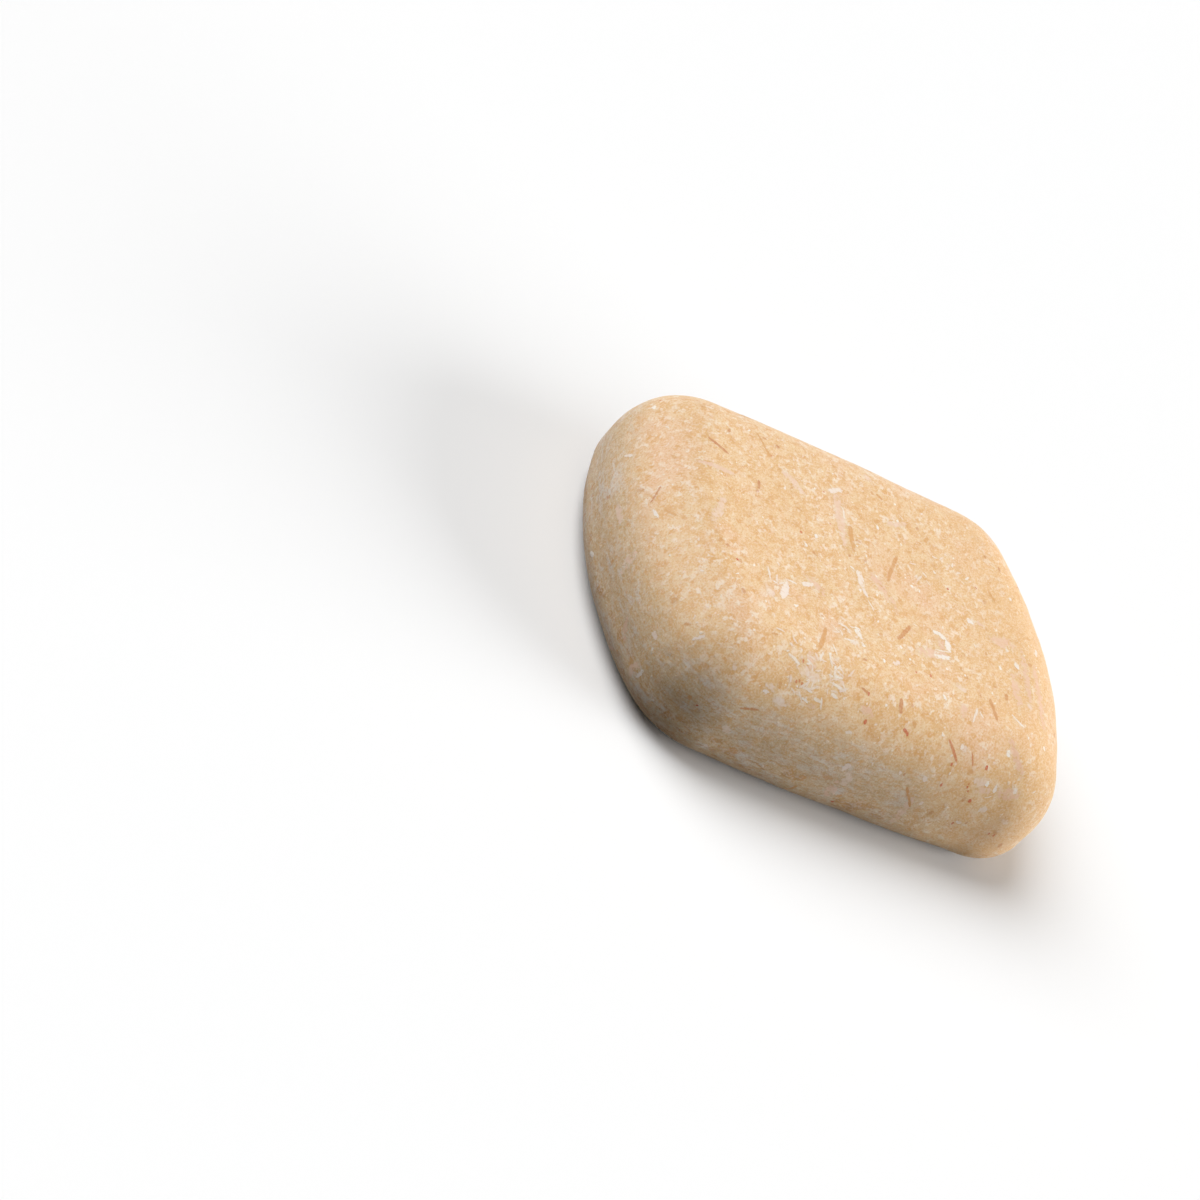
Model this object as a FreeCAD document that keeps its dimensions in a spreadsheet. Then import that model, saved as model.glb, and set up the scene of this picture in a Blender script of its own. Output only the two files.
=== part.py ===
"""Solid shampoo bar: one pressed, pillow-shaped cake, modelled as a single solid.

Frame: the bar lies on its flat underside in the XY plane, centred on the Z axis,
with its long sides along X and its top facing +Z. Lengths are in millimetres.
"""

import FreeCAD, Part
import math
import os

import Sketcher

NODE = "shampoo_bar"

# Driving dimensions: alias, value, meaning.
DIMENSIONS = (
    ("bar_length", 86.0, "overall length, end to end along X"),
    ("bar_width", 68.0, "overall width, side to side along Y"),
    ("bar_thickness", 22.0, "underside to top"),
    ("side_bow_radius", 420.0, "radius of the faintly bowed long sides"),
    ("end_bow_radius", 67.0, "radius of the rounder short ends"),
    ("corner_radius", 15.0, "radius of the four corners seen from above"),
    ("top_rounding", 13.0, "wide rounding from the top into the walls"),
    ("base_rounding", 6.0, "rounding from the walls into the underside"),
    ("least_land", 0.5, "least flat or upright band kept beside a rounding"),
)


def make_sheet(doc):
    """Write the driving dimensions to a spreadsheet and give each its alias."""
    sheet = doc.addObject("Spreadsheet::Sheet", "Sizes")
    for row, (alias, value, meaning) in enumerate(DIMENSIONS, start=1):
        sheet.set(f"A{row}", alias)
        sheet.set(f"B{row}", str(value))
        sheet.set(f"C{row}", meaning)
        sheet.setAlias(f"B{row}", alias)
    doc.recompute()
    return sheet


def origin_plane(body, role):
    """Return the body's own origin plane with the given role, such as XY_Plane."""
    return next(item for item in body.Origin.OriginFeatures if item.Role == role)


def arc_of(centre, radius, start, end):
    """Return a counter-clockwise arc in the sketch plane, angles in radians."""
    circle = Part.Circle(FreeCAD.Vector(*centre, 0), FreeCAD.Vector(0, 0, 1), radius)
    return Part.ArcOfCircle(circle, start, end)


def corner_centre(end_x, end_radius, side_y, side_radius, corner_radius):
    """Return the centre of the corner arc that touches the end arc and the side arc.

    The end arc is centred at (end_x, 0) and the side arc at (0, side_y). Both enclose
    the corner arc, so its centre lies on a circle about each of theirs; of the two
    points where those circles cross, it is the one out in the first quadrant.
    """
    from_end = end_radius - corner_radius
    from_side = side_radius - corner_radius
    apart = math.hypot(end_x, side_y)
    along = (from_end ** 2 - from_side ** 2 + apart ** 2) / (2 * apart)
    across = math.sqrt(from_end ** 2 - along ** 2)
    unit_x, unit_y = -end_x / apart, side_y / apart
    crossings = [
        (end_x + unit_x * along - turn * unit_y * across,
         unit_y * along + turn * unit_x * across)
        for turn in (1, -1)
    ]
    return max(crossings, key=sum)


def name_dimension(sketch, constraint, name, expression):
    """Add a dimensional constraint, name it and bind it to the spreadsheet."""
    index = sketch.addConstraint(constraint)
    sketch.renameConstraint(index, name)
    sketch.setExpression(f"Constraints.{name}", expression)


def sketch_plan(body, sheet):
    """Draw the bar from above: two bowed sides and two bowed ends joined by corner arcs.

    The eight arcs run counter-clockwise from the +X end and meet in tangency.
    """
    sketch = body.newObject("Sketcher::SketchObject", "plan_outline")
    sketch.AttachmentSupport = (origin_plane(body, "XY_Plane"), [""])
    sketch.MapMode = "FlatFace"

    end_radius, side_radius = sheet.end_bow_radius, sheet.side_bow_radius
    corner_radius = sheet.corner_radius
    end_x = sheet.bar_length / 2 - end_radius
    side_y = sheet.bar_width / 2 - side_radius
    corner_x, corner_y = corner_centre(end_x, end_radius, side_y, side_radius, corner_radius)
    end_turn = math.atan2(corner_y, corner_x - end_x)
    side_turn = math.atan2(corner_y - side_y, corner_x)

    half, full = math.pi, 2 * math.pi
    ids = sketch.addGeometry([
        arc_of((end_x, 0), end_radius, -end_turn, end_turn),
        arc_of((corner_x, corner_y), corner_radius, end_turn, side_turn),
        arc_of((0, side_y), side_radius, side_turn, half - side_turn),
        arc_of((-corner_x, corner_y), corner_radius, half - side_turn, half - end_turn),
        arc_of((-end_x, 0), end_radius, half - end_turn, half + end_turn),
        arc_of((-corner_x, -corner_y), corner_radius, half + end_turn, half + side_turn),
        arc_of((0, -side_y), side_radius, half + side_turn, full - side_turn),
        arc_of((corner_x, -corner_y), corner_radius, full - side_turn, full - end_turn),
    ], False)
    east, north_east, north, north_west, west, south_west, south, south_east = ids

    start, end, centre = 1, 2, 3
    x_axis, y_axis, origin = -1, -2, 1
    for here, following in zip(ids, ids[1:] + ids[:1]):
        sketch.addConstraint(Sketcher.Constraint("Tangent", here, end, following, start))
    sketch.addConstraint([
        Sketcher.Constraint("PointOnObject", east, centre, x_axis),
        Sketcher.Constraint("Symmetric", east, centre, west, centre, x_axis, origin),
        Sketcher.Constraint("PointOnObject", north, centre, y_axis),
        Sketcher.Constraint("Symmetric", north, centre, south, centre, x_axis, origin),
        Sketcher.Constraint("Equal", east, west),
        Sketcher.Constraint("Equal", north, south),
        Sketcher.Constraint("Equal", north_east, north_west),
        Sketcher.Constraint("Equal", north_east, south_west),
        Sketcher.Constraint("Equal", north_east, south_east),
    ])
    name_dimension(sketch, Sketcher.Constraint("Radius", east, end_radius),
                   "end_bow", "Sizes.end_bow_radius")
    name_dimension(sketch, Sketcher.Constraint("Radius", north, side_radius),
                   "side_bow", "Sizes.side_bow_radius")
    name_dimension(sketch, Sketcher.Constraint("Radius", north_east, corner_radius),
                   "corner", "Sizes.corner_radius")
    name_dimension(sketch, Sketcher.Constraint("DistanceX", east, centre, x_axis, origin, -end_x),
                   "end_centre", "Sizes.end_bow_radius - Sizes.bar_length / 2")
    name_dimension(sketch, Sketcher.Constraint("DistanceY", north, centre, x_axis, origin, -side_y),
                   "side_centre", "Sizes.side_bow_radius - Sizes.bar_width / 2")
    return sketch


def rim_edges(shape, height, tolerance):
    """Return the names of the edges that lie at one height, all round the bar."""
    return [
        f"Edge{index}"
        for index, edge in enumerate(shape.Edges, start=1)
        if all(abs(vertex.Point.z - height) < tolerance for vertex in edge.Vertexes)
    ]


def add_rounding(body, name, base, height, tolerance, radius):
    """Round the rim of a feature at one height, with the radius bound to an expression."""
    rounding = body.newObject("PartDesign::Fillet", name)
    rounding.Base = (base, rim_edges(base.Shape, height, tolerance))
    rounding.setExpression("Radius", radius)
    body.Document.recompute()
    return rounding


def make_bar(doc, sheet):
    """Build the bar: a blank raised from the plan, then rounded at its top and base rims."""
    body = doc.addObject("PartDesign::Body", NODE)
    body.Label = NODE

    blank = body.newObject("PartDesign::Pad", "blank")
    blank.Profile = sketch_plan(body, sheet)
    blank.setExpression("Length", "Sizes.bar_thickness")
    doc.recompute()

    base = add_rounding(
        body, "base_rounding", blank, 0.0, sheet.least_land,
        "min(Sizes.base_rounding; Sizes.corner_radius - Sizes.least_land)")
    add_rounding(
        body, "top_rounding", base, sheet.bar_thickness, sheet.least_land,
        "min(Sizes.top_rounding; Sizes.corner_radius - Sizes.least_land;"
        " Sizes.bar_thickness - Sizes.base_rounding - Sizes.least_land)")
    return body


def check_document(doc, bodies):
    """Stop if any object failed to rebuild or any sub-part has no valid shape."""
    for item in doc.Objects:
        if {"Invalid", "Error"} & set(item.State):
            raise RuntimeError(f"{item.Label} failed to rebuild: {item.State}")
    for body in bodies:
        if body.Shape.isNull() or not body.Shape.isValid() or len(body.Shape.Solids) != 1:
            raise RuntimeError(f"{body.Label} is not one valid solid")


def export(bodies):
    """Write each sub-part to its own STEP file, named after its node."""
    os.makedirs("parts", exist_ok=True)
    for body in bodies:
        body.Shape.exportStep(f"parts/{body.Label}.step")
        box = body.Shape.optimalBoundingBox()
        print(f"{body.Label}: {box.XLength:.2f} x {box.YLength:.2f} x {box.ZLength:.2f} mm,"
              f" {body.Shape.Volume / 1000:.1f} cm3")


def main():
    doc = FreeCAD.newDocument("ShampooBar")
    sheet = make_sheet(doc)
    bodies = [make_bar(doc, sheet)]
    check_document(doc, bodies)
    export(bodies)


main()
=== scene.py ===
"""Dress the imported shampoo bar: its moulded surface, its fibres and flecks, and a plain studio.

Lengths are in metres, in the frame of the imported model: the bar rests on Z = 0 with its
long sides along X. Finishes are given as display colours and turned to linear light.
"""

import functools
import logging
import math
import random
from dataclasses import dataclass, field, fields
from enum import Enum

import bpy
import numpy as np
from mathutils import Matrix, Vector

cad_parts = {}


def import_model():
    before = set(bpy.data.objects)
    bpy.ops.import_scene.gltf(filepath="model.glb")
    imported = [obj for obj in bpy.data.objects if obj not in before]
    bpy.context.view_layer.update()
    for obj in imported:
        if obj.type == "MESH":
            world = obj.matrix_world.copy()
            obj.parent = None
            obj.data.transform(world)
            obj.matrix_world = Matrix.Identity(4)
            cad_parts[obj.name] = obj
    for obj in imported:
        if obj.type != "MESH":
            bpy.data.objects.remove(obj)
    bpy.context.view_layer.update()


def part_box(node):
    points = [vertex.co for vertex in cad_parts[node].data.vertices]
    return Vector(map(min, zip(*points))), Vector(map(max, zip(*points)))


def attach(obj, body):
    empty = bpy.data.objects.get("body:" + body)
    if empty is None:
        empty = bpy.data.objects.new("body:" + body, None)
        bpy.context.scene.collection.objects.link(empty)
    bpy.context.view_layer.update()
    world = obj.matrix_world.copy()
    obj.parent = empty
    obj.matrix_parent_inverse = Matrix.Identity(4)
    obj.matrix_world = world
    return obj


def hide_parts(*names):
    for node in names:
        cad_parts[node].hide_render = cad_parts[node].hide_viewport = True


LOG = logging.getLogger("shampoo_bar")
NODE = "shampoo_bar"
BODY = "root"
MM = 0.001
PER_SQUARE_CM = 1e4
SPOT_HALF_LENGTH = 0.25
SPOT_BREADTH = 0.80
CURL_HALF_LENGTHS = (0.2, 1.1)
CURL_BREADTHS = (0.25, 0.55)

Colour = tuple[float, float, float]
Span = tuple[float, float]
Item = bpy.types.Object
Material = bpy.types.Material
Node = bpy.types.Node
Socket = bpy.types.NodeSocket
Tree = bpy.types.NodeTree


def linear(red: int, green: int, blue: int) -> Colour:
    """Turn a display colour, in channels from 0 to 255, into linear light.

    Args:
        red: Its red.
        green: Its green.
        blue: Its blue.

    Returns:
        The three linear channels, from 0 to 1.
    """
    def channel(value: int) -> float:
        """Return one channel in linear light."""
        share = value / 255
        return share / 12.92 if share <= 0.04045 else ((share + 0.055) / 1.055) ** 2.4

    return channel(red), channel(green), channel(blue)


class Tone(Enum):
    """The display colours of the pressed cake and of what is mixed into it."""

    CREAM = linear(240, 207, 164)
    GOLD = linear(233, 191, 139)
    HONEY = linear(225, 173, 113)
    PETAL = linear(249, 229, 207)
    ROSE = linear(241, 198, 172)
    # Partly the walls' grey film and partly painted shade: darker than the cream, it greys and
    # darkens the lower walls.
    WALL = linear(218, 191, 152)
    AMBER_SOAP = linear(238, 195, 143)
    TOFFEE = linear(202, 156, 108)
    CHALK = linear(232, 219, 206)
    FLECK = linear(255, 244, 232)
    BLOSSOM = linear(249, 225, 208)
    STRAW = linear(226, 168, 106)
    BARK = linear(210, 140, 96)
    HUSK = linear(212, 100, 70)
    AMBER = linear(220, 144, 100)


def stand(name: str, data: bpy.types.ID) -> Item:
    """Stand a mesh, lamp or camera in the scene.

    Args:
        name: The object's name.
        data: The mesh, lamp or camera.

    Returns:
        The object.
    """
    item = bpy.data.objects.new(name, data)
    bpy.context.scene.collection.objects.link(item)
    return item


# ---------------------------------------------------------------- nodes


class NodeBench:
    """Adds the nodes of one tree and joins their sockets."""

    def __init__(self, tree: Tree) -> None:
        """Keep the tree that the nodes are added to."""
        self.tree = tree

    def add(self, kind: str, inputs: dict[str | int, object] | None = None,
            **settings: object) -> Node:
        """Add a node.

        Args:
            kind: The node's type name.
            inputs: Values or sockets for its inputs, by name or index.
            **settings: Properties of the node, set before its inputs.

        Returns:
            The new node.
        """
        node = self.tree.nodes.new(kind)
        for name, value in settings.items():
            setattr(node, name, value)
        for key, value in (inputs or {}).items():
            self.feed(node.inputs[key], value)
        return node

    def out(self, kind: str, inputs: dict[str | int, object] | None = None,
            **settings: object) -> Socket:
        """Add a node and return its first output."""
        return self.add(kind, inputs, **settings).outputs[0]

    def feed(self, socket: Socket, value: object) -> None:
        """Link a socket to another, or give it a fixed value.

        Args:
            socket: The socket to feed.
            value: The other socket, the value, or a tone for its colour.
        """
        if isinstance(value, Socket):
            self.tree.links.new(value, socket)
        else:
            socket.default_value = (*value.value, 1.0) if isinstance(value, Tone) else value

    def sum(self, operation: str, *values: object) -> Socket:
        """Return the result of a Math node, such as MULTIPLY_ADD, for values or sockets."""
        return self.out("ShaderNodeMath", dict(enumerate(values)), operation=operation)

    def times(self, *values: object) -> Socket:
        """Return the product of values or sockets, taken from left to right."""
        return functools.reduce(functools.partial(self.sum, "MULTIPLY"), values)

    def vector(self, operation: str, first: object, second: object) -> Socket:
        """Return the result of a Vector Math node for two vectors, or a vector and its scale."""
        node = self.add("ShaderNodeVectorMath", {
            0: first, "Scale" if operation == "SCALE" else 1: second}, operation=operation)
        return node.outputs["Value" if operation == "DOT_PRODUCT" else 0]

    def axis(self, place: Socket, name: str) -> Socket:
        """Return one coordinate of a point, X, Y or Z."""
        return self.add("ShaderNodeSeparateXYZ", {"Vector": place}).outputs[name]

    def ramp(self, value: object, low: object, high: object,
             start: object = 0.0, stop: object = 1.0) -> Socket:
        """Return start at low and stop at high, clamped, with an eased rise between them."""
        return self.out("ShaderNodeMapRange", dict(enumerate((value, low, high, start, stop))),
                        interpolation_type="SMOOTHSTEP")

    def blend(self, share: object, below: object, above: object) -> Socket:
        """Return the mix of two colours."""
        return self.add("ShaderNodeMix", {0: share, 6: below, 7: above},
                        data_type="RGBA").outputs[2]

    def tint(self, colour: Socket, tone: Tone, *shares: object) -> Socket:
        """Lay a tone over a colour, as strongly as the product of the shares."""
        return self.blend(self.times(*shares), colour, tone)

    def noise(self, place: Socket, size: float, detail: float = 2.0,
              shift: float = 0.0) -> Socket:
        """Add a noise.

        Args:
            place: The point at which it is read.
            size: About how large its blotches are.
            detail: How many finer layers it has.
            shift: How far it is moved aside, so that two noises don't run together.

        Returns:
            The noise value.
        """
        if shift:
            place = self.vector("ADD", place, (shift, shift * 0.7, shift * 0.4))
        return self.out("ShaderNodeTexNoise", {
            "Vector": place, "Scale": 1 / size, "Detail": detail, "Roughness": 0.6})

    def stray(self, place: Socket, scale: float, reach: Socket) -> Socket:
        """Return an offset that strays from point to point, by about half the reach."""
        noise = self.add("ShaderNodeTexNoise", {"Vector": place, "Scale": scale, "Detail": 1.0})
        return self.vector("SCALE", self.vector(
            "SUBTRACT", noise.outputs["Color"], (0.5, 0.5, 0.5)), reach)

    def draw(self, low: object, high: object, seed: Socket, step: int) -> Socket:
        """Return a number drawn for each point or piece, with a seed moved on by a step."""
        return self.add("FunctionNodeRandomValue", {
            2: low, 3: high, "Seed": self.sum("ADD", seed, step)},
            data_type="FLOAT").outputs[1]

    def kept(self, name: str) -> Socket:
        """Return a number kept on the geometry under a name."""
        return self.out("GeometryNodeInputNamedAttribute", {"Name": name}, data_type="FLOAT")

    def keep(self, geometry: Socket, name: str, value: Socket) -> Socket:
        """Keep a number on each point of the geometry under a name, and return the geometry."""
        return self.out("GeometryNodeStoreNamedAttribute", {
            "Geometry": geometry, "Name": name, "Value": value},
            data_type="FLOAT", domain="POINT")

    def move(self, geometry: Socket, key: str, value: Socket) -> Socket:
        """Move each point of the geometry by an Offset or to a Position, and return it."""
        return self.out("GeometryNodeSetPosition", {"Geometry": geometry, key: value})


def open_group(name: str, kind: str, inputs: dict[str, str],
               outputs: dict[str, str]) -> tuple[NodeBench, dict[str, Socket], Node]:
    """Start a node group with named sockets.

    Args:
        name: The group's name.
        kind: Shader or Geometry.
        inputs: The types of its inputs, by name.
        outputs: The types of its outputs, by name.

    Returns:
        A bench for its nodes, its input sockets by name and its output node.
    """
    tree = bpy.data.node_groups.new(name, kind + "NodeTree")
    for side, sockets in (("INPUT", inputs), ("OUTPUT", outputs)):
        for label, what in sockets.items():
            tree.interface.new_socket(label, in_out=side, socket_type="NodeSocket" + what)
    bench = NodeBench(tree)
    given = {socket.name: socket for socket in bench.add("NodeGroupInput").outputs}
    return bench, given, bench.add("NodeGroupOutput")


def settings_of(*holders: object) -> dict[str, object]:
    """Return the fields of dataclass objects by socket name, such as "Pit depth"."""
    return {item.name.replace("_", " ").capitalize(): getattr(holder, item.name)
            for holder in holders for item in fields(holder)}


def open_geometry(name: str, settings: dict[str, object],
                  **others: str) -> tuple[NodeBench, dict[str, Socket], Node]:
    """Start a geometry tree with one input for each setting, for its geometry and its material.

    Args:
        name: The tree's name.
        settings: The settings, which are whole or other numbers.
        **others: The types of further inputs, by name.

    Returns:
        A bench for its nodes, its input sockets by name and its output node.
    """
    numbers = {key: "Int" if isinstance(value, int) else "Float"
               for key, value in settings.items()}
    return open_group(name, "Geometry", {
        "Geometry": "Geometry", **numbers, **others, "Material": "Material"},
        {"Geometry": "Geometry"})


def run_tree(carrier: Item, tree: Tree, name: str, values: dict[str, object]) -> Item:
    """Run a geometry tree on an object and keep the result as a plain mesh.

    Args:
        carrier: The object that the tree starts from; it is left unchanged.
        tree: The geometry tree.
        name: Name of the resulting object.
        values: The tree's input values, by socket name.

    Returns:
        The resulting object, with no modifiers.
    """
    modifier = carrier.modifiers.new(tree.name, "NODES")
    modifier.node_group = tree
    for item in tree.interface.items_tree:
        if item.name in values:
            modifier[item.identifier] = values[item.name]
    graph = bpy.context.evaluated_depsgraph_get()
    mesh = bpy.data.meshes.new_from_object(carrier.evaluated_get(graph), depsgraph=graph)
    mesh.name = name
    carrier.modifiers.remove(modifier)
    return stand(name, mesh)


# ---------------------------------------------------------------- the moulded form


class Face(Enum):
    """The side of the cake from which a bedded piece's place is given, in millimetres."""

    TOP = "x and y from above"
    NEAR = "x and z from the near wall"


@dataclass
class BarForm:
    """The pressed cake's smooth shape, as a dense mesh of even quads."""

    low: Vector
    high: Vector
    side_bow_radius: float = 420 * MM
    end_bow_radius: float = 67 * MM
    corner_radius: float = 15 * MM
    top_rounding: float = 13 * MM
    base_rounding: float = 6 * MM
    fuller_corner: float = 0.6 * MM
    fuller_reach: float = 12 * MM
    cell: float = 0.52 * MM
    finer_upwards: float = 1.25
    slope_step: float = 1e-6
    settle_rounds: int = 4
    drop_steps: int = 80
    half_length: float = field(init=False)
    half_width: float = field(init=False)
    thickness: float = field(init=False)

    def __post_init__(self) -> None:
        """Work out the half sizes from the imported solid's box."""
        self.half_length = (self.high.x - self.low.x) / 2
        self.half_width = (self.high.y - self.low.y) / 2
        self.thickness = self.high.z - self.low.z

    def corner_centre(self, end_x: float, side_y: float) -> tuple[float, float]:
        """Find the centre of the corner arc that meets the end and side bows in tangency.

        Args:
            end_x: Where the end bow's centre lies along the bar.
            side_y: Where the side bow's centre lies across the bar.

        Returns:
            The centre of the corner in the first quadrant.
        """
        from_end = self.end_bow_radius - self.corner_radius
        from_side = self.side_bow_radius - self.corner_radius
        apart = math.hypot(end_x, side_y)
        along = (from_end ** 2 - from_side ** 2 + apart ** 2) / (2 * apart)
        across = math.sqrt(from_end ** 2 - along ** 2)
        unit_x, unit_y = -end_x / apart, side_y / apart
        crossings = [
            (end_x + unit_x * along - turn * unit_y * across,
             unit_y * along + turn * unit_x * across)
            for turn in (1, -1)
        ]
        return max(crossings, key=sum)

    def plan_distance(self, x: np.ndarray, y: np.ndarray) -> np.ndarray:
        """Measure how far points lie outside the outline seen from above.

        The near corner of the right end is a little fuller than the other three.

        Args:
            x: Places along the bar.
            y: Places across the bar.

        Returns:
            The signed distances, negative inside.
        """
        end_x = self.half_length - self.end_bow_radius
        side_y = self.half_width - self.side_bow_radius
        corner_x, corner_y = self.corner_centre(end_x, side_y)
        end_turn = math.atan2(corner_y, corner_x - end_x)
        side_turn = math.atan2(corner_y - side_y, corner_x)
        middle = (end_turn + side_turn) / 2
        away = np.hypot(x - corner_x - self.corner_radius * math.cos(middle),
                        y + corner_y + self.corner_radius * math.sin(middle))
        share = np.clip(away / self.fuller_reach, 0, 1)
        fuller = self.fuller_corner * (1 - share ** 2 * (3 - 2 * share))
        x, y = np.abs(x), np.abs(y)
        turn = np.arctan2(y - corner_y, x - corner_x)
        bows = np.maximum(np.hypot(x - end_x, y) - self.end_bow_radius,
                          np.hypot(x, y - side_y) - self.side_bow_radius)
        corner = np.hypot(x - corner_x, y - corner_y) - self.corner_radius
        return np.where((turn > end_turn) & (turn < side_turn), corner, bows) - fuller

    def distance(self, points: np.ndarray) -> np.ndarray:
        """Measure how far points lie outside the rounded cake.

        Args:
            points: Rows of x, y, z, with z from the underside.

        Returns:
            The signed distances, negative inside.
        """
        plan = self.plan_distance(points[:, 0], points[:, 1])
        rims = []
        for radius, over in ((self.top_rounding, points[:, 2] - self.thickness),
                             (self.base_rounding, -points[:, 2])):
            out, up = plan + radius, over + radius
            inside = np.minimum(np.maximum(out, up), 0)
            outside = np.hypot(np.maximum(out, 0), np.maximum(up, 0))
            rims.append(inside + outside - radius)
        return np.maximum(*rims)

    def settle(self, points: np.ndarray) -> np.ndarray:
        """Draw points near the cake onto it, along its distance slope.

        Args:
            points: Rows of x, y, z.

        Returns:
            The points on the surface.
        """
        for _ in range(self.settle_rounds):
            slope = np.stack([
                self.distance(points + shift) - self.distance(points - shift)
                for shift in np.eye(3) * self.slope_step
            ], axis=1) / (2 * self.slope_step)
            slope /= np.linalg.norm(slope, axis=1, keepdims=True)
            points = points - slope * self.distance(points)[:, None]
        return points

    def drop(self, face: Face, place: tuple[float, float]) -> tuple[float, ...]:
        """Drop a point onto the cake from above, or push it in from the near side.

        Args:
            face: The side that the place is given on.
            place: The two coordinates, in millimetres.

        Returns:
            The point on the surface.
        """
        across, along = place[0] * MM, place[1] * MM
        if face is Face.TOP:
            point, way = np.array([across, along, 2 * self.thickness]), np.array([0.0, 0.0, -1.0])
        else:
            point, way = np.array([across, -2 * self.half_width, along]), np.array([0.0, 1.0, 0.0])
        for _ in range(self.drop_steps):
            point = point + way * self.distance(point[None])[0]
        return tuple(float(value) for value in point)

    def block(self) -> tuple[np.ndarray, list[tuple[int, ...]]]:
        """Make the cells of the plain block that the cake is pressed from.

        Returns:
            The corner points and the faces, each face wound to point outwards.
        """
        size = np.array([2 * self.half_length, 2 * self.half_width, self.thickness])
        cells = size * (1, 1, self.finer_upwards) / self.cell
        counts = np.maximum(np.round(cells).astype(int), 2)
        index: dict[tuple[int, ...], int] = {}
        faces: list[tuple[int, ...]] = []
        for normal in range(3):
            first, second = (normal + 1) % 3, (normal + 2) % 3
            for level in (0, counts[normal]):
                for a, b in np.ndindex(counts[first], counts[second]):
                    ring = []
                    for da, db in ((0, 0), (1, 0), (1, 1), (0, 1)):
                        key = [0, 0, 0]
                        key[normal], key[first], key[second] = level, a + da, b + db
                        ring.append(index.setdefault(tuple(map(int, key)), len(index)))
                    faces.append(tuple(ring if level else reversed(ring)))
        return size * (np.array(list(index)) / counts - (0.5, 0.5, 0)), faces

    def build(self) -> Item:
        """Build the smooth cake.

        Returns:
            An object at the origin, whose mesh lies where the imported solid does.
        """
        points, faces = self.block()
        middle = (self.low + self.high) / 2
        shift = np.array((middle.x, middle.y, self.low.z))
        mesh = bpy.data.meshes.new("cake")
        mesh.from_pydata((self.settle(points) + shift).tolist(), [], faces)
        mesh.shade_smooth()
        return stand("cake", mesh)


@dataclass(frozen=True)
class Relief:
    """Shallow hand-made unevenness, always pressed inwards from the smooth cake.

    The pits' reach, spread and floor are shares of their spacing: a pit reaches out by the
    reach and up to the spread more, and it is flat as far out as the floor.
    """

    skin: float = 0.07 * MM
    swell_depth: float = 0.22 * MM
    swell_size: float = 19 * MM
    lump_depth: float = 0.06 * MM
    lump_size: float = 4.2 * MM
    grain_depth: float = 0.010 * MM
    grain_size: float = 1.3 * MM
    pit_depth: float = 0.10 * MM
    pit_spacing: float = 6.5 * MM
    pit_share: float = 0.30
    pit_reach: float = 0.07
    pit_spread: float = 0.10
    pit_floor: float = 0.02

    def tree(self) -> Tree:
        """Build the tree that presses a mesh inwards along its normals.

        Returns:
            The tree, with an input for each of the relief's sizes.
        """
        bench, given, leave = open_geometry("press_relief", settings_of(self))
        place = bench.out("GeometryNodeInputPosition")
        total = given["Skin"]
        for kind, detail in (("Swell", 1.0), ("Lump", 2.0), ("Grain", 2.0)):
            noise = bench.out("ShaderNodeTexNoise", {
                "Vector": place, "Scale": bench.sum("DIVIDE", 1.0, given[kind + " size"]),
                "Detail": detail})
            rise = bench.ramp(noise, 0.25, 0.75)
            total = bench.sum("MULTIPLY_ADD", rise, given[kind + " depth"], total)
        total = bench.sum("MULTIPLY_ADD", self.pits(bench, given, place), given["Pit depth"], total)
        inward = bench.vector("SCALE", bench.out("GeometryNodeInputNormal"),
                              bench.times(total, -1.0))
        joined = bench.out("GeometryNodeRealizeInstances", {
            "Geometry": bench.move(given["Geometry"], "Offset", inward)})
        bench.feed(leave.inputs[0], bench.out("GeometryNodeSetMaterial", {
            "Geometry": joined, "Material": given["Material"]}))
        return bench.tree

    @staticmethod
    def pits(bench: NodeBench, given: dict[str, Socket], place: Socket) -> Socket:
        """Build the mask of the small air pits.

        Args:
            bench: The bench of the tree being built.
            given: The tree's inputs.
            place: The point on the cake.

        Returns:
            The mask, 1 at the middle of a pit.
        """
        cells = bench.add("ShaderNodeTexVoronoi", {
            "Vector": place, "Scale": bench.sum("DIVIDE", 1.0, given["Pit spacing"])})
        picks = bench.add("FunctionNodeSeparateColor", {"Color": cells.outputs["Color"]})
        kept = bench.sum("LESS_THAN", picks.outputs[0], given["Pit share"])
        reach = bench.sum(
            "MULTIPLY_ADD", picks.outputs[1], given["Pit spread"], given["Pit reach"])
        return bench.times(bench.ramp(cells.outputs["Distance"], reach, given["Pit floor"]), kept)

    def press(self, cake: Item, name: str, material: Material) -> Item:
        """Press the relief into the smooth cake and return the finished piece."""
        return run_tree(cake, self.tree(), name, {**settings_of(self), "Material": material})


# ---------------------------------------------------------------- finishes


def speck_group() -> Tree:
    """Build the shader group that strews small ragged specks.

    Returns:
        The group, which puts out a mask and a random tone for each speck.
    """
    numbers = dict.fromkeys(("Spacing", "Share", "Reach", "Softness", "Ragged"), "Float")
    bench, given, leave = open_group("strewn_specks", "Shader", {"Vector": "Vector", **numbers},
                                     {"Mask": "Float", "Tone": "Float"})
    cells_at = bench.vector("SCALE", given["Vector"], bench.sum("DIVIDE", 1.0, given["Spacing"]))
    ragged = bench.vector("ADD", cells_at, bench.stray(cells_at, 2.6, given["Ragged"]))
    cells = bench.add("ShaderNodeTexVoronoi", {"Vector": ragged, "Scale": 1.0})
    picks = bench.add("ShaderNodeSeparateColor", {"Color": cells.outputs["Color"]})
    reach = bench.times(given["Reach"], bench.sum("MULTIPLY_ADD", picks.outputs[1], 0.7, 0.3))
    inner = bench.sum("SUBTRACT", reach, given["Softness"])
    kept = bench.sum("LESS_THAN", picks.outputs[0], given["Share"])
    bench.feed(leave.inputs["Mask"], bench.times(
        bench.ramp(cells.outputs["Distance"], reach, inner), kept))
    bench.feed(leave.inputs["Tone"], picks.outputs[2])
    return bench.tree


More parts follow.
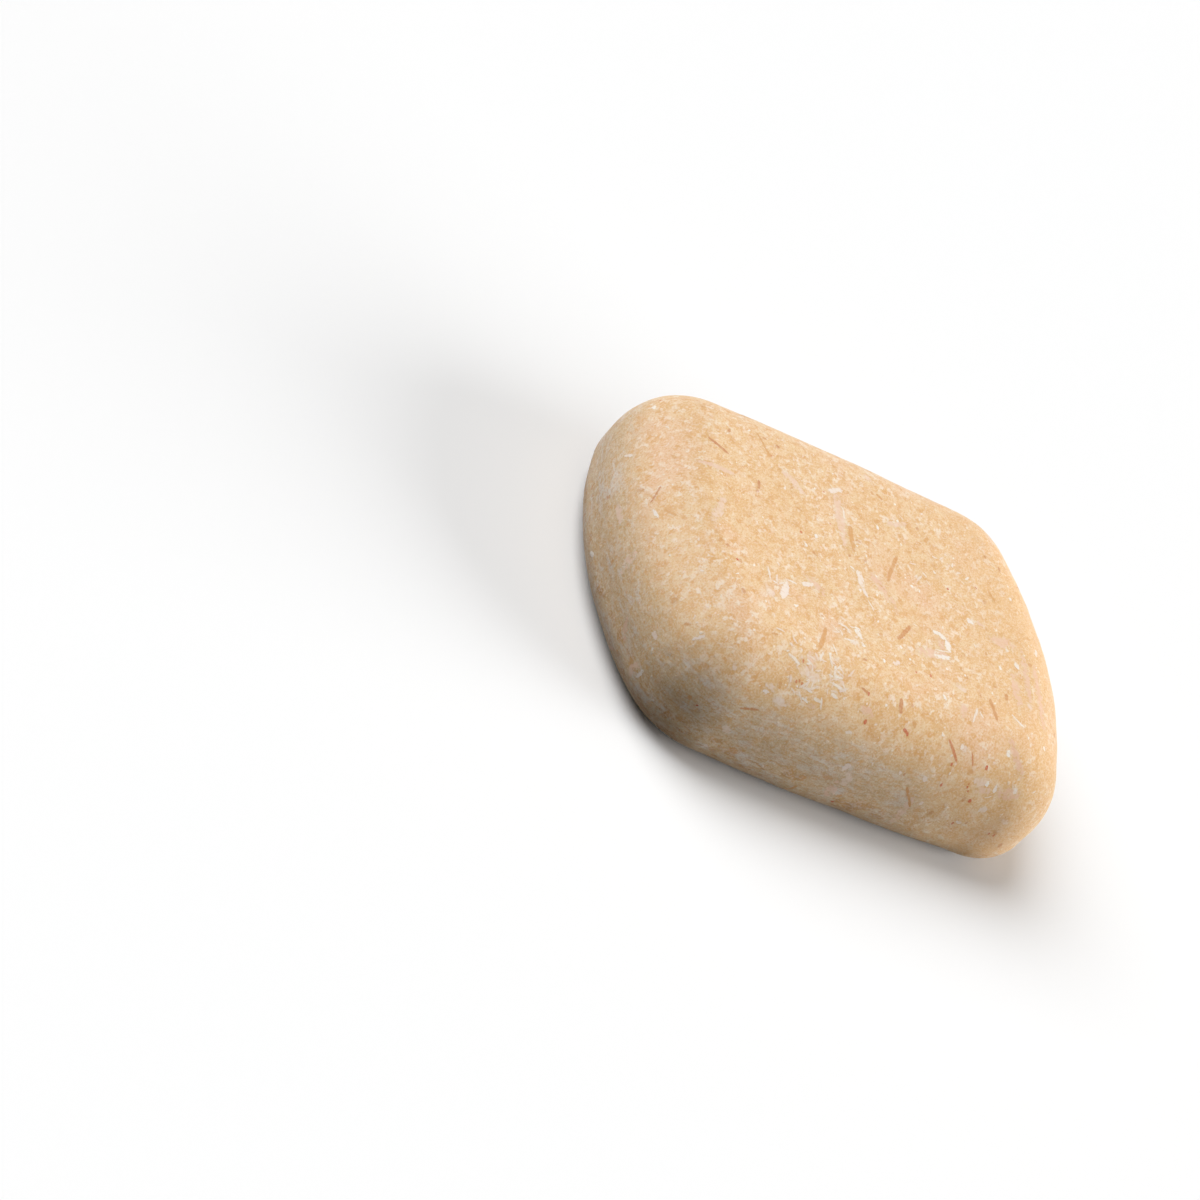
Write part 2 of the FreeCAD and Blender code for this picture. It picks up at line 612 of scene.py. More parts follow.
@dataclass(frozen=True)
class SpeckLayer:
    """One strewing of specks: its size, how many, and how it tints and lifts the soap."""

    tone: Tone
    spacing: float
    share: float
    reach: float
    softness: float
    strength: float
    lift: float


@dataclass(frozen=True)
class SoapFinish:
    """The pressed cake's satin finish: mottled, flecked, and chalky on its walls, with painted
    shade on its lower walls and a painted band of bounced light along its foot.

    A size is about that of one blotch. A span says where a tone begins and where it is full:
    a rise is a height above the floor, and a run is a place along the bar.
    """

    mottle_size: float = 2.2 * MM
    blotch_size: float = 1.35 * MM
    petal_size: float = 1.05 * MM
    grain_size: float = 0.28 * MM
    cloud_size: float = 8 * MM
    blush_size: float = 11.2 * MM
    drift_size: float = 4.8 * MM
    scuff_size: float = 1.5 * MM
    streak_size: float = 0.9 * MM
    patch_size: float = 3.4 * MM
    chalk_size: float = 1.0 * MM
    crumb_size: float = 0.42 * MM
    # Where the walls' grey film and painted shade lie: low on the bar, and left of a place along it
    # so that the lit right end stays clear.
    wall_rise: Span = (18 * MM, 12.5 * MM)
    wall_run: Span = (19 * MM, 3 * MM)
    end_run: Span = (12 * MM, 29 * MM)
    thread_rise: Span = (14 * MM, 20 * MM)
    foot_rise: Span = (9.5 * MM, 5.0 * MM)
    # Painted light: the warm band at the foot stands for light bounced up from the floor.
    painted_bounce_rise: Span = (4.5 * MM, 1.5 * MM)
    worked_heading: float = 55.0
    worked_stretch: float = 1.35
    ragged: float = 0.45
    roughness: float = 0.47
    bump_depth: float = 0.05 * MM
    specks: tuple[SpeckLayer, ...] = (
        SpeckLayer(Tone.HONEY, 2.3 * MM, 0.40, 0.27, 0.20, 0.75, -0.10),
        SpeckLayer(Tone.TOFFEE, 0.9 * MM, 0.18, 0.28, 0.16, 0.55, -0.25),
        SpeckLayer(Tone.PETAL, 1.5 * MM, 0.34, 0.25, 0.20, 0.85, 0.15),
        SpeckLayer(Tone.BLOSSOM, 1.1 * MM, 0.32, 0.34, 0.24, 0.85, 0.15),
        SpeckLayer(Tone.FLECK, 0.66 * MM, 0.22, 0.34, 0.24, 0.85, 0.30),
        SpeckLayer(Tone.FLECK, 1.7 * MM, 0.36, 0.21, 0.08, 1.00, 0.60),
    )

    def start(self, name: str) -> tuple[Material, NodeBench, Node, Socket]:
        """Start a soap material whose constants are already set.

        Args:
            name: The material's name.

        Returns:
            The material, its bench, its soap body node and the point in the bar's frame.
        """
        material = bpy.data.materials.new(name)
        material.use_nodes = True
        bench = NodeBench(material.node_tree)
        shader = material.node_tree.nodes["Principled BSDF"]
        shader.inputs["IOR"].default_value = 1.46
        shader.inputs["Specular IOR Level"].default_value = 0.3
        shader.inputs["Subsurface Weight"].default_value = 0.10
        shader.inputs["Subsurface Radius"].default_value = (1.0, 0.55, 0.30)
        shader.inputs["Subsurface Scale"].default_value = 0.8 * MM
        place = bench.add("ShaderNodeTexCoord").outputs["Object"]
        group = bpy.data.node_groups.get("soap_body") or SoapBody(self).paint()
        body = bench.add("ShaderNodeGroup", {"Vector": place}, node_tree=group)
        bump = bench.out("ShaderNodeBump", {
            "Strength": 1.0, "Distance": self.bump_depth, "Height": body.outputs["Height"]})
        for key, value in (("Roughness", body.outputs["Roughness"]), ("Normal", bump),
                           ("Base Color", body.outputs["Color"])):
            bench.feed(shader.inputs[key], value)
        return material, bench, body, place

    def material(self) -> Material:
        """Build the cake's own material."""
        return self.start("pressed_soap")[0]


class SoapBody:
    """The group that paints the soap itself, for the cake and for all that lies in it.

    The mottling and the specks are read at a point drawn out along the line in which the
    soap was worked. The walls and the threads are read at the plain point.
    """

    def __init__(self, finish: SoapFinish) -> None:
        """Open the group and note where on the bar a point lies.

        Args:
            finish: The soap's sizes and specks.
        """
        self.finish = finish
        self.bench, given, self.leave = open_group(
            "soap_body", "Shader", {"Vector": "Vector"},
            {"Color": "Color", "Height": "Float", "Roughness": "Float"})
        bench = self.bench
        self.place = given["Vector"]
        turn = math.radians(finish.worked_heading)
        line = (math.cos(turn), math.sin(turn), 0.0)
        back = bench.times(bench.vector("DOT_PRODUCT", self.place, line),
                           1 / finish.worked_stretch - 1)
        self.drawn = bench.vector("ADD", self.place, bench.vector("SCALE", line, back))
        self.rise, along = bench.axis(self.place, "Z"), bench.axis(self.place, "X")
        # The mask of the walls' grey film and of the painted shade on them.
        self.wall = bench.times(bench.ramp(self.rise, *finish.wall_rise),
                                bench.ramp(along, *finish.wall_run))
        self.end = bench.ramp(along, *finish.end_run)
        self.lively = bench.times(bench.sum("MULTIPLY_ADD", self.wall, -0.6, 1.0),
                                  bench.sum("MULTIPLY_ADD", self.end, -0.35, 1.0))

    def paint(self) -> Tree:
        """Lay the soap's tones over each other, from the broadest to the finest.

        Returns:
            The group, which puts out a colour, a height and a roughness.
        """
        bench, finish, drawn = self.bench, self.finish, self.drawn
        mottle = bench.noise(drawn, finish.mottle_size, 3.0)
        blush = bench.noise(drawn, finish.blush_size, shift=0.31)
        drift = bench.noise(drawn, finish.drift_size, shift=0.47)
        blotch = bench.noise(drawn, finish.blotch_size, shift=0.05)
        petal = bench.noise(drawn, finish.petal_size, shift=0.19)
        grain = bench.noise(drawn, finish.grain_size, shift=0.11)
        colour = bench.blend(bench.ramp(mottle, 0.38, 0.62), Tone.GOLD, Tone.CREAM)
        colour = bench.tint(colour, Tone.ROSE, bench.ramp(blush, 0.48, 0.72, 0.0, 0.40))
        colour = self.walls(bench.tint(colour, Tone.AMBER_SOAP, self.end, 0.6))
        colour = bench.tint(colour, Tone.HONEY, bench.ramp(blotch, 0.50, 0.70, 0.0, 0.85),
                            self.lively)
        pale = bench.times(bench.ramp(petal, 0.50, 0.66), bench.ramp(drift, 0.38, 0.60, 0.20, 0.90))
        colour = bench.tint(colour, Tone.PETAL, pale, self.lively)
        colour = bench.tint(colour, Tone.PETAL, bench.ramp(grain, 0.52, 0.66, 0.0, 0.42))
        colour = bench.tint(colour, Tone.HONEY, bench.ramp(grain, 0.48, 0.32, 0.0, 0.60))
        height = bench.sum("MULTIPLY_ADD", grain, 0.40, bench.times(pale, 0.25))
        colour, height = self.threads(*self.specks(colour, height))
        rough = bench.ramp(mottle, 0.3, 0.7, finish.roughness - 0.06, finish.roughness + 0.08)
        for socket, value in zip(self.leave.inputs, (colour, height, rough)):
            bench.feed(socket, value)
        return bench.tree

    def walls(self, colour: Socket) -> Socket:
        """Grey and darken the lower walls, partly as painted shade, drag a chalky bloom along them,
        darken them in blotches, and paint a warm band of bounced light along the foot.

        Args:
            colour: The colour below.

        Returns:
            The new colour.
        """
        bench, finish, wall = self.bench, self.finish, self.wall
        along = bench.vector("MULTIPLY", self.place, (0.42, 0.42, 1.0))
        dragged = bench.vector("MULTIPLY", self.place, (0.16, 0.16, 1.0))
        scuff = bench.noise(along, finish.scuff_size, 3.0)
        streak = bench.noise(dragged, finish.streak_size, 3.0)
        patch = bench.noise(along, finish.patch_size, shift=0.23)
        chalk = bench.noise(along, finish.chalk_size, 3.0, 0.37)
        crumb = bench.noise(along, finish.crumb_size, shift=0.53)
        foot = bench.ramp(bench.ramp(self.rise, *finish.foot_rise), 0.0, 1.0, 0.10, 0.95)
        for tone, *shares in (
            # Partly painted shade: the lower walls greyed and darkened, fading out before the lit
            # right end.
            (Tone.WALL, wall, 0.80),
            (Tone.TOFFEE, bench.ramp(scuff, 0.53, 0.61), bench.times(wall, foot)),
            (Tone.CHALK, bench.ramp(streak, 0.46, 0.62, 0.0, 0.80),
             bench.ramp(patch, 0.42, 0.60), wall),
            (Tone.CHALK, bench.ramp(chalk, 0.55, 0.64, 0.0, 0.75),
             bench.ramp(patch, 0.36, 0.56, 0.25, 1.0), wall),
            (Tone.CHALK, wall, bench.ramp(crumb, 0.52, 0.64, 0.0, 0.40)),
            (Tone.TOFFEE, wall, bench.ramp(crumb, 0.48, 0.36, 0.0, 0.45)),
            # Painted light: a warmer, lighter band along the foot, for light bounced up from the
            # floor.
            (Tone.GOLD, bench.ramp(self.rise, *finish.painted_bounce_rise, 0.0, 0.55)),
        ):
            colour = bench.tint(colour, tone, *shares)
        return colour

    def specks(self, colour: Socket, height: Socket) -> tuple[Socket, Socket]:
        """Strew the layers of specks over the soap, fainter on the walls and towards the right end.

        Args:
            colour: The colour below.
            height: The height below.

        Returns:
            The new colour and height.
        """
        bench, tree = self.bench, speck_group()
        for layer in self.finish.specks:
            specks = bench.add("ShaderNodeGroup", {
                "Vector": self.drawn, "Spacing": layer.spacing, "Share": layer.share,
                "Reach": layer.reach, "Softness": layer.softness,
                "Ragged": self.finish.ragged}, node_tree=tree)
            mask, pick = specks.outputs
            varied = bench.times(bench.sum("MULTIPLY_ADD", pick, 0.6, 0.4), self.lively)
            colour = bench.tint(colour, layer.tone, mask, varied, layer.strength)
            height = bench.sum("MULTIPLY_ADD", mask, layer.lift, height)
        return colour, height

    def threads(self, colour: Socket, height: Socket) -> tuple[Socket, Socket]:
        """Scatter short curling threads of whiter soap, thickest where the cloud is thin.

        Args:
            colour: The colour below.
            height: The height below.

        Returns:
            The new colour and height.
        """
        bench = self.bench
        cloud = bench.noise(self.drawn, self.finish.cloud_size)
        upper = bench.ramp(self.rise, *self.finish.thread_rise)
        crowd = bench.ramp(cloud, 0.60, 0.34, 0.66, 0.52)
        for size, shift, width in ((2.6 * MM, (0.07, 0.03, 0.41), 0.022),
                                   (1.5 * MM, (0.23, 0.37, 0.13), 0.035)):
            moved = bench.vector("ADD", self.place, shift)
            winding = bench.sum("SUBTRACT", bench.noise(moved, size, 1.0), 0.5)
            line = bench.ramp(bench.sum("ABSOLUTE", winding), width, width * 0.3)
            cut = bench.noise(bench.vector("ADD", moved, (0.5, 0.2, 0.1)), size * 0.75, 1.0)
            short = bench.ramp(cut, crowd, bench.sum("ADD", crowd, 0.08))
            mask = bench.times(line, short, upper)
            colour = bench.tint(colour, Tone.FLECK, mask, 0.18)
            height = bench.sum("MULTIPLY_ADD", mask, 0.25, height)
        return colour, height


@dataclass(frozen=True)
class BeddedFinish:
    """The finish of something bedded in the soap: its tone, fading out at its edges."""

    tone: Tone
    second: Tone
    strength: float
    rim: float
    edge: float
    ragged: float
    grain_size: float = 0.5 * MM

    def material(self, name: str, soap: SoapFinish) -> Material:
        """Build the material.

        Args:
            name: The material's name.
            soap: The finish of the soap around it.

        Returns:
            The material, which reads the piece's own "heart" and "tone" attributes.
        """
        material, bench, body, place = soap.start(name)
        heart, pick = (bench.add("ShaderNodeAttribute", attribute_name=kept).outputs["Fac"]
                       for kept in ("heart", "tone"))
        wear = bench.noise(place, self.grain_size)
        worn = bench.sum("MULTIPLY_ADD", bench.sum("SUBTRACT", wear, 0.5), 4 * self.ragged, heart)
        share = bench.times(bench.ramp(worn, self.rim, self.rim + self.edge, 0.0, self.strength),
                            bench.ramp(heart, 0.0, 0.12))
        soapy = body.outputs["Color"]
        tone = bench.blend(bench.ramp(wear, 0.35, 0.65, 0.25, 0.0),
                           bench.blend(pick, self.tone, self.second), soapy)
        shader = material.node_tree.nodes["Principled BSDF"]
        bench.feed(shader.inputs["Base Color"], bench.blend(share, soapy, tone))
        return material


# ---------------------------------------------------------------- what is mixed in


@dataclass(frozen=True)
class Laid:
    """One listed piece: its two ends and its breadth, in millimetres, and its tone."""

    face: Face
    start: tuple[float, float]
    end: tuple[float, float]
    breadth: float
    tone: float


def lay(face: Face, *rows: tuple[float, ...]) -> tuple[Laid, ...]:
    """Lay listed pieces on one side of the cake, in millimetres.

    Args:
        face: The side they are seen from.
        *rows: For each stroke its two ends, its breadth and its share of the second tone; for
            each spot its middle, its width and that share.

    Returns:
        The pieces, of which a spot is about as long as it is wide.
    """
    pieces = []
    for *ends, breadth, tone in rows:
        if len(ends) == 2:
            half = breadth * SPOT_HALF_LENGTH
            ends = [ends[0] - half, ends[1], ends[0] + half, ends[1]]
            breadth *= SPOT_BREADTH
        pieces.append(Laid(face, tuple(ends[:2]), tuple(ends[2:]), breadth, tone))
    return tuple(pieces)


def crumble(start: tuple[float, float], end: tuple[float, float], spread: float, count: int,
            seed: int) -> tuple[Laid, ...]:
    """Sprinkle small curls over the top by a seeded draw, thickest along a line.

    Args:
        start: One end of the line.
        end: Its other end.
        spread: How far from the line they lie, in millimetres.
        count: How many there are.
        seed: Seed of the draw.

    Returns:
        The curls.
    """
    draw = random.Random(seed)
    curls = []
    for _ in range(count):
        share = draw.random()
        x = start[0] + (end[0] - start[0]) * share + draw.gauss(0, spread / 2)
        y = start[1] + (end[1] - start[1]) * share + draw.gauss(0, spread / 2)
        heading = draw.uniform(0, math.tau)
        reach = draw.uniform(*CURL_HALF_LENGTHS)
        dx, dy = reach * math.cos(heading), reach * math.sin(heading)
        curls.append(Laid(Face.TOP, (x - dx, y - dy), (x + dx, y + dy),
                          draw.uniform(*CURL_BREADTHS), draw.random()))
    return tuple(curls)


@dataclass(frozen=True)
class Strewn:
    """How pieces of one kind are strewn over the rest of the cake."""

    density: float
    shortest: float
    longest: float
    narrowest: float
    broadest: float
    clear: float
    seed: int


@dataclass(frozen=True)
class Bedding:
    """How strands and spots of one kind are shaped and bedded flush in the soap."""

    taper: float
    bend: float
    ragged: float
    flatness: float
    steps: int
    sides: int = 8


class BeddingTree:
    """The geometry tree that beds laid and strewn pieces in the cake.

    It starts from the laid pieces' edges, and takes the cake as an object. The scales are
    those of the noises that bend and tear a piece. The next three shape its ends. A piece
    stands proud from its rim inwards, keeps a share of its depth below, and takes the cake's
    normals down to its seam.
    """

    sway_scale: float = 260.0
    tear_scale: float = 1900.0
    round_share: float = 0.97
    blunt_span: Span = (1.02, 0.80)
    blunt_tip: float = 0.25
    rim_span: Span = (-0.2, 0.25)
    proud: float = 0.015 * MM
    buried_share: float = 0.15
    seam: float = -0.55

    def __init__(self, settings: dict[str, object]) -> None:
        """Open the tree.

        Args:
            settings: One kind's settings, for the names and types of the inputs.
        """
        self.bench, self.given, self.leave = open_geometry("bed_in_soap", settings, Cake="Object")
        self.cake = self.bench.add("GeometryNodeObjectInfo", {
            "Object": self.given["Cake"]}).outputs["Geometry"]

    def build(self) -> Tree:
        """Add the nodes, from the laid and strewn curves to the dressed pieces.

        Returns:
            The tree. Its pieces take the cake's own normals where they show.
        """
        bench, given = self.bench, self.given
        both = bench.add("GeometryNodeJoinGeometry")
        for curves in (bench.out("GeometryNodeMeshToCurve", {"Mesh": given["Geometry"]}),
                       self.strew()):
            bench.feed(both.inputs[0], curves)
        curve = bench.out("GeometryNodeResampleCurve", {
            "Curve": both.outputs[0], "Count": given["Steps"]})
        place = bench.out("GeometryNodeInputPosition")
        curve = bench.move(curve, "Offset", bench.stray(place, self.sway_scale, given["Bend"]))
        curve = bench.move(curve, "Position", self.nearest("Position"))
        joined = bench.out("GeometryNodeRealizeInstances", {
            "Geometry": self.flatten(self.sweep(curve))})
        dressed = bench.out("GeometryNodeSetMaterial", {
            "Geometry": joined, "Material": given["Material"]})
        smooth = bench.out("GeometryNodeSetShadeSmooth", {"Geometry": dressed})
        facing = bench.add("ShaderNodeMix", {
            0: bench.sum("GREATER_THAN", bench.kept("heart"), self.seam),
            4: bench.out("GeometryNodeInputNormal"), 5: self.nearest("Normal")},
            data_type="VECTOR")
        bench.feed(self.leave.inputs[0], bench.out("GeometryNodeSetMeshNormal", {
            "Mesh": smooth, "Custom Normal": facing.outputs[1]}, mode="FREE", domain="POINT"))
        return bench.tree

    def nearest(self, what: str) -> Socket:
        """Return the Position of the cake's nearest point, or its Normal there."""
        return self.bench.add("GeometryNodeSampleNearestSurface", {
            "Mesh": self.cake, "Value": self.bench.out("GeometryNodeInput" + what)},
            data_type="FLOAT_VECTOR").outputs["Value"]

    def strew(self) -> Socket:
        """Strew straight curves over the cake, away from the laid pieces.

        Returns:
            The curves, with their breadth and tone kept on them.
        """
        bench, given = self.bench, self.given
        points = bench.add("GeometryNodeDistributePointsOnFaces", {
            "Mesh": self.cake, "Density": given["Density"], "Seed": given["Seed"]})
        near = bench.add("GeometryNodeProximity", {"Geometry": given["Geometry"]},
                         target_element="EDGES").outputs
        crowded = bench.sum("LESS_THAN", near["Distance"], given["Clear"])
        kept = bench.out("GeometryNodeDeleteGeometry", {
            "Geometry": points.outputs["Points"],
            "Selection": bench.times(crowded, near["Is Valid"])})
        breadth, tone, spin, length = (
            bench.draw(low, high, given["Seed"], step) for step, low, high in (
                (1, given["Narrowest"], given["Broadest"]), (2, 0.0, 1.0), (3, 0.0, math.pi),
                (4, given["Shortest"], given["Longest"])))
        kept = bench.keep(bench.keep(kept, "breadth", breadth), "tone", tone)
        about = bench.out("FunctionNodeAxisAngleToRotation", {
            "Axis": (0.0, 0.0, 1.0), "Angle": spin})
        turned = bench.out("FunctionNodeRotateRotation", {
            "Rotation": points.outputs["Rotation"], "Rotate By": about}, rotation_space="LOCAL")
        line = bench.out("GeometryNodeCurvePrimitiveLine", {
            "Start": (-0.5, 0.0, 0.0), "End": (0.5, 0.0, 0.0)})
        copies = bench.out("GeometryNodeInstanceOnPoints", {
            "Points": kept, "Instance": line, "Rotation": turned,
            "Scale": bench.out("ShaderNodeCombineXYZ", {"X": length, "Y": 1.0, "Z": 1.0})})
        return bench.out("GeometryNodeRealizeInstances", {"Geometry": copies})

    def sweep(self, curve: Socket) -> Socket:
        """Sweep a ring along each curve, drawn in towards its ends.

        Args:
            curve: The curves.

        Returns:
            The closed tubes.
        """
        bench, taper = self.bench, self.given["Taper"]
        along = bench.add("GeometryNodeSplineParameter").outputs["Factor"]
        off_middle = bench.sum("ABSOLUTE", bench.sum("MULTIPLY_ADD", along, 2.0, -1.0))
        squared = bench.sum("POWER", off_middle, 2.0)
        round_end = bench.sum("SQRT", bench.sum(
            "SUBTRACT", 1.0, bench.times(squared, self.round_share)))
        blunt_end = bench.ramp(off_middle, *self.blunt_span, self.blunt_tip)
        shape = bench.sum("ADD", bench.times(round_end, taper),
                          bench.times(blunt_end, bench.sum("SUBTRACT", 1.0, taper)))
        sized = bench.out("GeometryNodeSetCurveRadius", {
            "Curve": curve, "Radius": bench.times(bench.kept("breadth"), 0.5, shape)})
        ring = bench.add("GeometryNodeCurvePrimitiveCircle", {
            "Resolution": self.given["Sides"], "Radius": 1.0}).outputs["Curve"]
        return bench.out("GeometryNodeCurveToMesh", {
            "Curve": sized, "Profile Curve": ring, "Fill Caps": True,
            "Scale": bench.out("GeometryNodeInputRadius")})

    def flatten(self, tube: Socket) -> Socket:
        """Press the tubes nearly flush with the cake, and note how far in from the edge they are.

        Args:
            tube: The tubes.

        Returns:
            The bedded pieces, with a "heart" attribute: 1 along the middle, 0 at the rim and
            less than 0 on the buried side.
        """
        bench = self.bench
        place = bench.out("GeometryNodeInputPosition")
        torn = bench.move(tube, "Offset", bench.stray(place, self.tear_scale, self.given["Ragged"]))
        base, out = self.nearest("Position"), self.nearest("Normal")
        height = bench.vector("DOT_PRODUCT", bench.vector("SUBTRACT", place, base), out)
        heart = bench.sum("DIVIDE", height, bench.times(bench.kept("breadth"), 0.5))
        proud = bench.sum("MULTIPLY_ADD", bench.sum("MAXIMUM", height, 0.0), self.given["Flatness"],
                          bench.ramp(heart, *self.rim_span, 0.0, self.proud))
        buried = bench.times(bench.sum("MINIMUM", height, 0.0), self.buried_share)
        lift = bench.vector("SCALE", out, bench.sum("ADD", proud, buried))
        return bench.move(bench.keep(torn, "heart", heart), "Position",
                          bench.vector("ADD", base, lift))


@dataclass
class BeddedPieces:
    """All the pieces of one kind that lie in the soap."""

    name: str
    finish: BeddedFinish
    bedding: Bedding
    strewn: Strewn
    laid: tuple[Laid, ...]

    def settings(self) -> dict[str, object]:
        """Return this kind's settings of the bedding tree."""
        return settings_of(self.strewn, self.bedding)

    def seeds(self, form: BarForm) -> Item:
        """Draw the laid pieces as edges on the smooth cake.

        Args:
            form: The cake's form, which the ends are dropped onto.

        Returns:
            A carrier object whose edges keep each piece's breadth and tone.
        """
        ends = [form.drop(piece.face, end) for piece in self.laid
                for end in (piece.start, piece.end)]
        edges = [(2 * number, 2 * number + 1) for number in range(len(self.laid))]
        mesh = bpy.data.meshes.new(self.name + "_seeds")
        mesh.from_pydata(ends, edges, [])
        for key, values in (("breadth", [piece.breadth * MM for piece in self.laid]),
                            ("tone", [piece.tone for piece in self.laid])):
            layer = mesh.attributes.new(key, "FLOAT", "POINT")
            layer.data.foreach_set("value", np.repeat(values, 2))
        return stand(self.name + "_seeds", mesh)

    def build(self, form: BarForm, cake: Item, tree: Tree, soap: SoapFinish) -> Item:
        """Bed every piece of this kind in the cake.

        Args:
            form: The cake's form.
            cake: The pressed cake.
            tree: The bedding tree.
            soap: The finish of the soap around them.

        Returns:
            One object that holds them all.
        """
        carrier = self.seeds(form)
        result = run_tree(carrier, tree, self.name, {
            **self.settings(), "Cake": cake, "Material": self.finish.material(self.name, soap)})
        bpy.data.objects.remove(carrier)
        return result


TOP, NEAR = Face.TOP, Face.NEAR


def plant_fibres() -> BeddedPieces:
    """Describe the tan fibres of dried plant."""
    return BeddedPieces(
        "plant_fibres",
        BeddedFinish(Tone.STRAW, Tone.BARK, strength=0.9, rim=0.2, edge=0.6, ragged=0.32),
        Bedding(taper=0.25, bend=0.6 * MM, ragged=0.2 * MM, flatness=0.02, steps=14),
        Strewn(0.26 * PER_SQUARE_CM, 2.0 * MM, 5.5 * MM, 0.35 * MM, 0.8 * MM, 13 * MM, 11),
        (
            *lay(TOP, (6.0, 7.0, 2.5, -0.5, 0.9, 0.3), (5.5, -8.5, 2.0, -13.0, 0.85, 0.7),
                 (-13.0, -17.0, -15.0, -22.5, 1.0, 0.2), (19.5, -17.5, 20.0, -22.0, 0.8, 0.5),
                 (0.5, -1.5, 1.5, -3.0, 0.5, 0.4), (-3.0, 9.5, -3.5, 3.0, 1.1, 0.1),
                 (25.0, 8.0, 26.0, 6.0, 0.65, 0.0), (14.0, 14.5, 13.0, 13.0, 0.8, 0.0),
                 (2.5, 12.5, 4.0, 13.5, 0.85, 0.0), (4.5, 20.0, 5.5, 19.0, 0.8, 0.2),
                 (23.5, -15.0, 23.0, -16.5, 0.75, 0.5), (-5.5, -26.5, -7.0, -26.0, 0.55, 0.8),
                 (0.5, -25.0, 1.0, -27.5, 0.9, 0.9)),
            *lay(NEAR, (7.0, 12.5, 10.5, 9.0, 0.55, 0.4), (-25.5, 13.5, -22.5, 14.5, 0.45, 0.8)),
        ),
    )


def tan_spots() -> BeddedPieces:
    """Describe the soft tan spots of ground husk."""
    return BeddedPieces(
        "tan_spots",
        BeddedFinish(Tone.STRAW, Tone.BARK, strength=0.75, rim=0.2, edge=0.7, ragged=0.4),
        Bedding(taper=1.0, bend=0.2 * MM, ragged=0.22 * MM, flatness=0.01, steps=7),
        Strewn(1.0 * PER_SQUARE_CM, 0.5 * MM, 1.6 * MM, 0.5 * MM, 1.0 * MM, 4 * MM, 23),
        (
            *lay(TOP, (16.0, -10.0, 1.25, 0.3), (14.5, -13.5, 0.9, 0.6), (15.5, -15.0, 0.9, 0.3),
                 (17.5, -18.0, 1.1, 0.5), (21.0, -7.5, 1.25, 0.3), (22.5, -1.5, 1.1, 0.3),
                 (3.5, 19.5, 1.25, 0.3), (12.0, 10.5, 1.0, 0.3), (17.0, -21.0, 1.25, 0.3),
                 (3.0, -25.5, 1.1, 0.5), (3.5, -27.5, 4.0, -28.5, 0.9, 0.3),
                 (11.5, -11.0, 1.0, 0.7)),
            *lay(NEAR, (5.5, 14.0, 1.0, 1.0), (21.0, 10.0, 0.9, 1.0),
                 (-9.5, 7.0, -8.0, 6.5, 1.5, 0.3), (-6.5, 9.0, -4.5, 8.5, 1.6, 0.3),
                 (-22.5, 6.5, -20.5, 6.0, 1.5, 0.3)),
        ),
    )


def husk_specks() -> BeddedPieces:
    """Describe the small russet specks and slivers."""
    return BeddedPieces(
        "husk_specks",
        BeddedFinish(Tone.HUSK, Tone.AMBER, strength=0.95, rim=0.12, edge=0.5, ragged=0.22,
                     grain_size=0.3 * MM),
        Bedding(taper=0.8, bend=0.15 * MM, ragged=0.16 * MM, flatness=0.03, steps=7),
        Strewn(0.3 * PER_SQUARE_CM, 0.2 * MM, 0.7 * MM, 0.3 * MM, 0.65 * MM, 10 * MM, 37),
        (
            *lay(NEAR, (10.5, 20.0, 13.5, 17.8, 0.6, 0.9), (15.5, 19.5, 16.5, 18.0, 0.35, 1.0)),
            *lay(TOP, (-5.0, -30.0, 1.2, 0.3), (2.0, -29.0, 3.0, -29.5, 0.7, 0.3),
                 (3.0, -29.5, 0.95, 0.3), (4.5, -18.5, 0.7, 0.6), (7.5, -18.0, 0.95, 0.5),
                 (-5.5, -26.5, 0.95, 0.3)),
            *lay(NEAR, (19.0, 18.5, 1.2, 0.3), (12.5, 17.5, 0.95, 0.3), (12.5, 14.5, 0.95, 0.3),
                 (17.0, 15.5, 0.7, 0.2), (17.5, 15.0, 0.55, 0.4), (17.0, 16.0, 0.4, 0.3),
                 (18.5, 14.0, 19.0, 13.5, 0.7, 0.3), (19.0, 9.0, 0.95, 0.3), (26.0, 9.5, 0.8, 0.2),
                 (27.0, 9.5, 0.95, 0.3), (-18.0, 19.5, 0.7, 0.8)),
            *lay(TOP, (-18.0, -25.5, 0.8, 0.6), (-18.5, -28.5, 0.8, 1.0),
                 (-17.5, -28.5, 0.8, 1.0)),
        ),
    )


